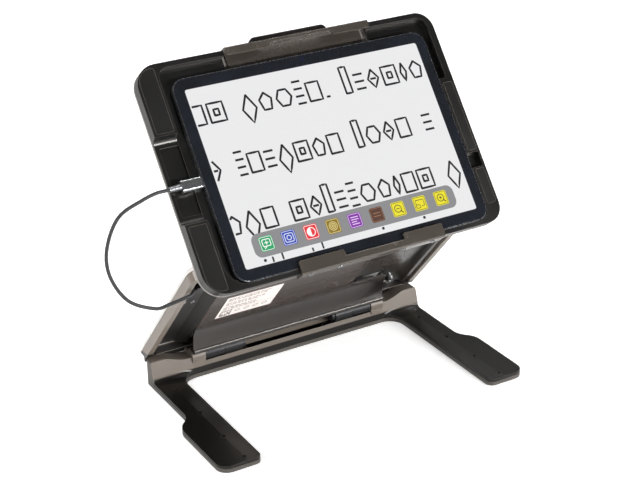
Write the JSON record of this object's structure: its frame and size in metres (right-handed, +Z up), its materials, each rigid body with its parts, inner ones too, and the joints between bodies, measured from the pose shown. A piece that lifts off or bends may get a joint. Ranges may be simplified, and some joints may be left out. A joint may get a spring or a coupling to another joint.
{
  "type": "electronic low vision magnifier",
  "caption": "Folding electronic reading magnifier: U-shaped base, folding camera arm and tilting cradle with a spring clamp that grips a touch tablet.",
  "frame": {"origin": "on the table, under the middle of the rear hinge axis", "axes": "+X to the reader's right, -Y towards the reader, +Z up"},
  "size_m": [0.3606, 0.1833, 0.3088],
  "materials": {
    "base_lower_plastic": "fine-textured warm grey shell",
    "base_cover_plastic": "satin charcoal with a warm sheen",
    "foot_rubber": "black anti-slip rubber",
    "black_screw_steel": "black oxide",
    "ballast_steel": "zinc plated bar",
    "hinge_steel": "black phosphated steel",
    "pin_steel": "ground steel",
    "screw_steel": "zinc plated",
    "arm_shell_plastic": "pale warm grey",
    "arm_frame_plastic": "satin taupe",
    "arm_cover_plastic": "satin dark brown-grey",
    "arm_plate_plastic": "satin brown",
    "bay_plastic": "black textured",
    "bay_plastic_right": "smooth dark grey",
    "hinge_leaf_steel": "black phosphated steel",
    "arm_screw_steel": "zinc plated",
    "bumper_rubber": "soft black rubber",
    "label_paper": "blank pale sticker",
    "camera_plastic": "gloss black",
    "lens_glass": "coated camera glass",
    "led_diffuser": "clear diffuser over white lamps",
    "board_laminate": "green solder mask",
    "battery_wrap": "grey shrink wrap",
    "socket_plastic": "black moulded",
    "clip_plastic": "black moulded",
    "cable_jacket": "dark grey flexible jacket",
    "upper_hinge_steel": "black phosphated steel",
    "upper_arm_screw_steel": "zinc plated",
    "upper_pin_steel": "ground steel",
    "cradle_leaf_steel": "black phosphated steel",
    "cradle_leaf_screw_steel": "zinc plated",
    "cradle_plastic": "satin charcoal",
    "cradle_back_plastic": "fine-textured warm grey shell",
    "cradle_screw_steel": "zinc plated",
    "left_upper_pad_plastic": "soft-touch charcoal",
    "left_lower_pad_plastic": "soft-touch charcoal",
    "right_middle_pad_plastic": "soft-touch charcoal",
    "right_lower_pad_plastic": "soft-touch charcoal",
    "rest_strip_rubber": "thin cushion",
    "lower_rail_plastic": "satin dark grey",
    "lower_rail_screw_steel": "zinc plated",
    "upper_rail_plastic": "satin dark grey",
    "pull_grip_plastic": "satin dark grey",
    "stud_steel": "turned steel",
    "spring_steel": "bright spring wire",
    "tablet_aluminium": "bead-blasted anodised",
    "tablet_bezel_glass": "black printed cover glass",
    "screen_display": "lit display showing an enlarged page",
    "tablet_battery_wrap": "black wrap",
    "tablet_board_laminate": "green solder mask",
    "power_button_aluminium": "bead-blasted anodised",
    "volume_up_aluminium": "bead-blasted anodised",
    "volume_down_aluminium": "bead-blasted anodised",
    "plug_metal": "satin silver",
    "strain_relief_metal": "satin grey"
  },
  "bodies": {
    "base": {"base_lower_shell": "base_lower_plastic", "base_top_cover": "base_cover_plastic", "base_rubber_feet": "foot_rubber", "base_cover_screws": "black_screw_steel", "foot_ballast_bars": "ballast_steel", "base_hinge_brackets": "hinge_steel", "base_hinge_pins": "pin_steel", "base_hinge_screws": "screw_steel"},
    "arm": {"arm_back_shell": "arm_shell_plastic", "arm_front_frame": "arm_frame_plastic", "arm_hinge_cover": "arm_cover_plastic", "arm_cover_plate": "arm_plate_plastic", "arm_left_bay_liner": "bay_plastic", "arm_right_bay_liner": "bay_plastic_right", "arm_hinge_leaves": "hinge_leaf_steel", "arm_shell_screws": "arm_screw_steel", "arm_rubber_bumpers": "bumper_rubber", "rating_label": "label_paper", "camera_housing": "camera_plastic", "camera_lens": "lens_glass", "led_window": "led_diffuser", "control_board": "board_laminate", "battery_pack": "battery_wrap", "cable_socket": "socket_plastic", "cable_clips": "clip_plastic", "usb_cable": "cable_jacket", "upper_hinge_arm_leaves": "upper_hinge_steel", "upper_hinge_arm_screws": "upper_arm_screw_steel"},
    "cradle": {"upper_hinge_cradle_leaves": "cradle_leaf_steel", "upper_hinge_cradle_screws": "cradle_leaf_screw_steel", "upper_hinge_pins": "upper_pin_steel", "cradle_tray": "cradle_plastic", "cradle_back_cover": "cradle_back_plastic", "cradle_back_screws": "cradle_screw_steel", "left_upper_pad": "left_upper_pad_plastic", "left_lower_pad": "left_lower_pad_plastic", "right_middle_pad": "right_middle_pad_plastic", "right_lower_pad": "right_lower_pad_plastic", "tablet_rest_strips": "rest_strip_rubber", "bottom_hook_rail": "lower_rail_plastic", "bottom_rail_screws": "lower_rail_screw_steel", "clamp_guide_studs": "stud_steel", "clamp_return_springs": "spring_steel", "tablet_housing": "tablet_aluminium", "tablet_front_glass": "tablet_bezel_glass", "tablet_screen": "screen_display", "tablet_battery": "tablet_battery_wrap", "tablet_board": "tablet_board_laminate"},
    "upper_clamp": {"top_clamp": "upper_rail_plastic", "clamp_pull_grip": "pull_grip_plastic"},
    "power_button": {"tablet_power_button": "power_button_aluminium"},
    "volume_up_button": {"tablet_volume_up": "volume_up_aluminium"},
    "volume_down_button": {"tablet_volume_down": "volume_down_aluminium"},
    "plug": {"usb_plug": "plug_metal", "usb_strain_relief": "strain_relief_metal"}
  },
  "joints": [
    {"name": "base_hinge", "type": "hinge", "parent": "base", "child": "arm", "pos_m": [0, 0, 0.02], "axis": [1, 0, 0], "range_deg": [0, 48.5], "stiffness_Nm_per_rad": 2.5, "springref_deg": -34.38},
    {"name": "cradle_hinge", "type": "hinge", "parent": "arm", "child": "cradle", "pos_m": [0, -0.10262, 0.16348], "axis": [1, 0, 0], "range_deg": [-100.2, 12], "stiffness_Nm_per_rad": 1.2, "springref_deg": 8.02},
    {"name": "clamp_slide", "type": "slide", "parent": "cradle", "child": "upper_clamp", "axis": [0, -0.6204, -0.7843], "range_m": [0, 0.0154], "stiffness_N_per_m": 60, "springref_m": -0.008},
    {"name": "power_button_press", "type": "slide", "parent": "cradle", "child": "power_button", "axis": [-1, 0, 0], "range_m": [0, 0.0003], "stiffness_N_per_m": 8, "springref_m": -0.002},
    {"name": "volume_up_press", "type": "slide", "parent": "cradle", "child": "volume_up_button", "axis": [0, 0.6204, 0.7843], "range_m": [0, 0.0003], "stiffness_N_per_m": 8, "springref_m": -0.002},
    {"name": "volume_down_press", "type": "slide", "parent": "cradle", "child": "volume_down_button", "axis": [0, 0.6204, 0.7843], "range_m": [0, 0.0003], "stiffness_N_per_m": 8, "springref_m": -0.002},
    {"name": "usb_plug_slide", "type": "slide", "parent": "cradle", "child": "plug", "axis": [-1, 0, 0], "range_m": [0, 0.009]}
  ]
}
